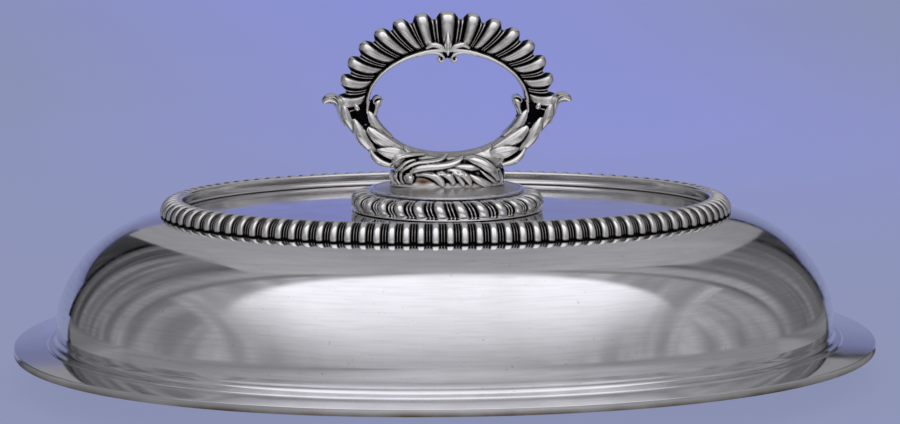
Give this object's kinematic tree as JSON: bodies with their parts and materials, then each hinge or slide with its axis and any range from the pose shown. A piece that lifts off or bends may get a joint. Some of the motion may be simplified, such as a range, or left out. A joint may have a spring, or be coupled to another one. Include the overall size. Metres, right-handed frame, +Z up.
{
  "type": "covered double vegetable dish",
  "caption": "Oval silver-plated covered vegetable dish: shallow flanged dish, domed cover with gadroon border, and cast shell-and-acanthus loop handle on a quarter-turn lock.",
  "frame": {"origin": "centre of the dish's flat underside", "axes": "+Z up, +X along the oval's length, the handle's loop lies in the XZ plane"},
  "size_m": [0.292, 0.2214, 0.1235],
  "materials": {
    "polished_silver": "polished silver plate with fine wipe scratches and light handling marks",
    "cast_silver": "cast silver plate, bright on the crests and dark with tarnish in the recesses",
    "nickel_silver": "plain dull nickel silver"
  },
  "bodies": {
    "dish": {"dish_body": "polished_silver"},
    "cover": {"cover_shell": "polished_silver", "gadroon_border": "cast_silver", "lock_plate": "nickel_silver", "lock_stop_closed": "nickel_silver", "lock_stop_open": "nickel_silver", "lock_rivet_1": "nickel_silver", "lock_rivet_2": "nickel_silver", "lock_rivet_3": "nickel_silver", "lock_rivet_4": "nickel_silver"},
    "handle": {"handle_base_ring": "cast_silver", "handle_base_cap": "polished_silver", "handle_base_plate": "nickel_silver", "spring_washer": "nickel_silver", "stud_nut": "nickel_silver", "lock_stud": "nickel_silver", "handle_neck": "cast_silver", "acanthus_arm_left": "cast_silver", "acanthus_arm_right": "cast_silver", "shell_arch": "cast_silver"}
  },
  "joints": [
    {"name": "cover_lift", "type": "slide", "parent": "dish", "child": "cover", "axis": [0, 0, 1], "range_m": [0, 0.15]},
    {"name": "handle_turn", "type": "hinge", "parent": "cover", "child": "handle", "pos_m": [0, 0, 0.0568], "axis": [0, 0, 1], "range_deg": [0, 90]}
  ]
}
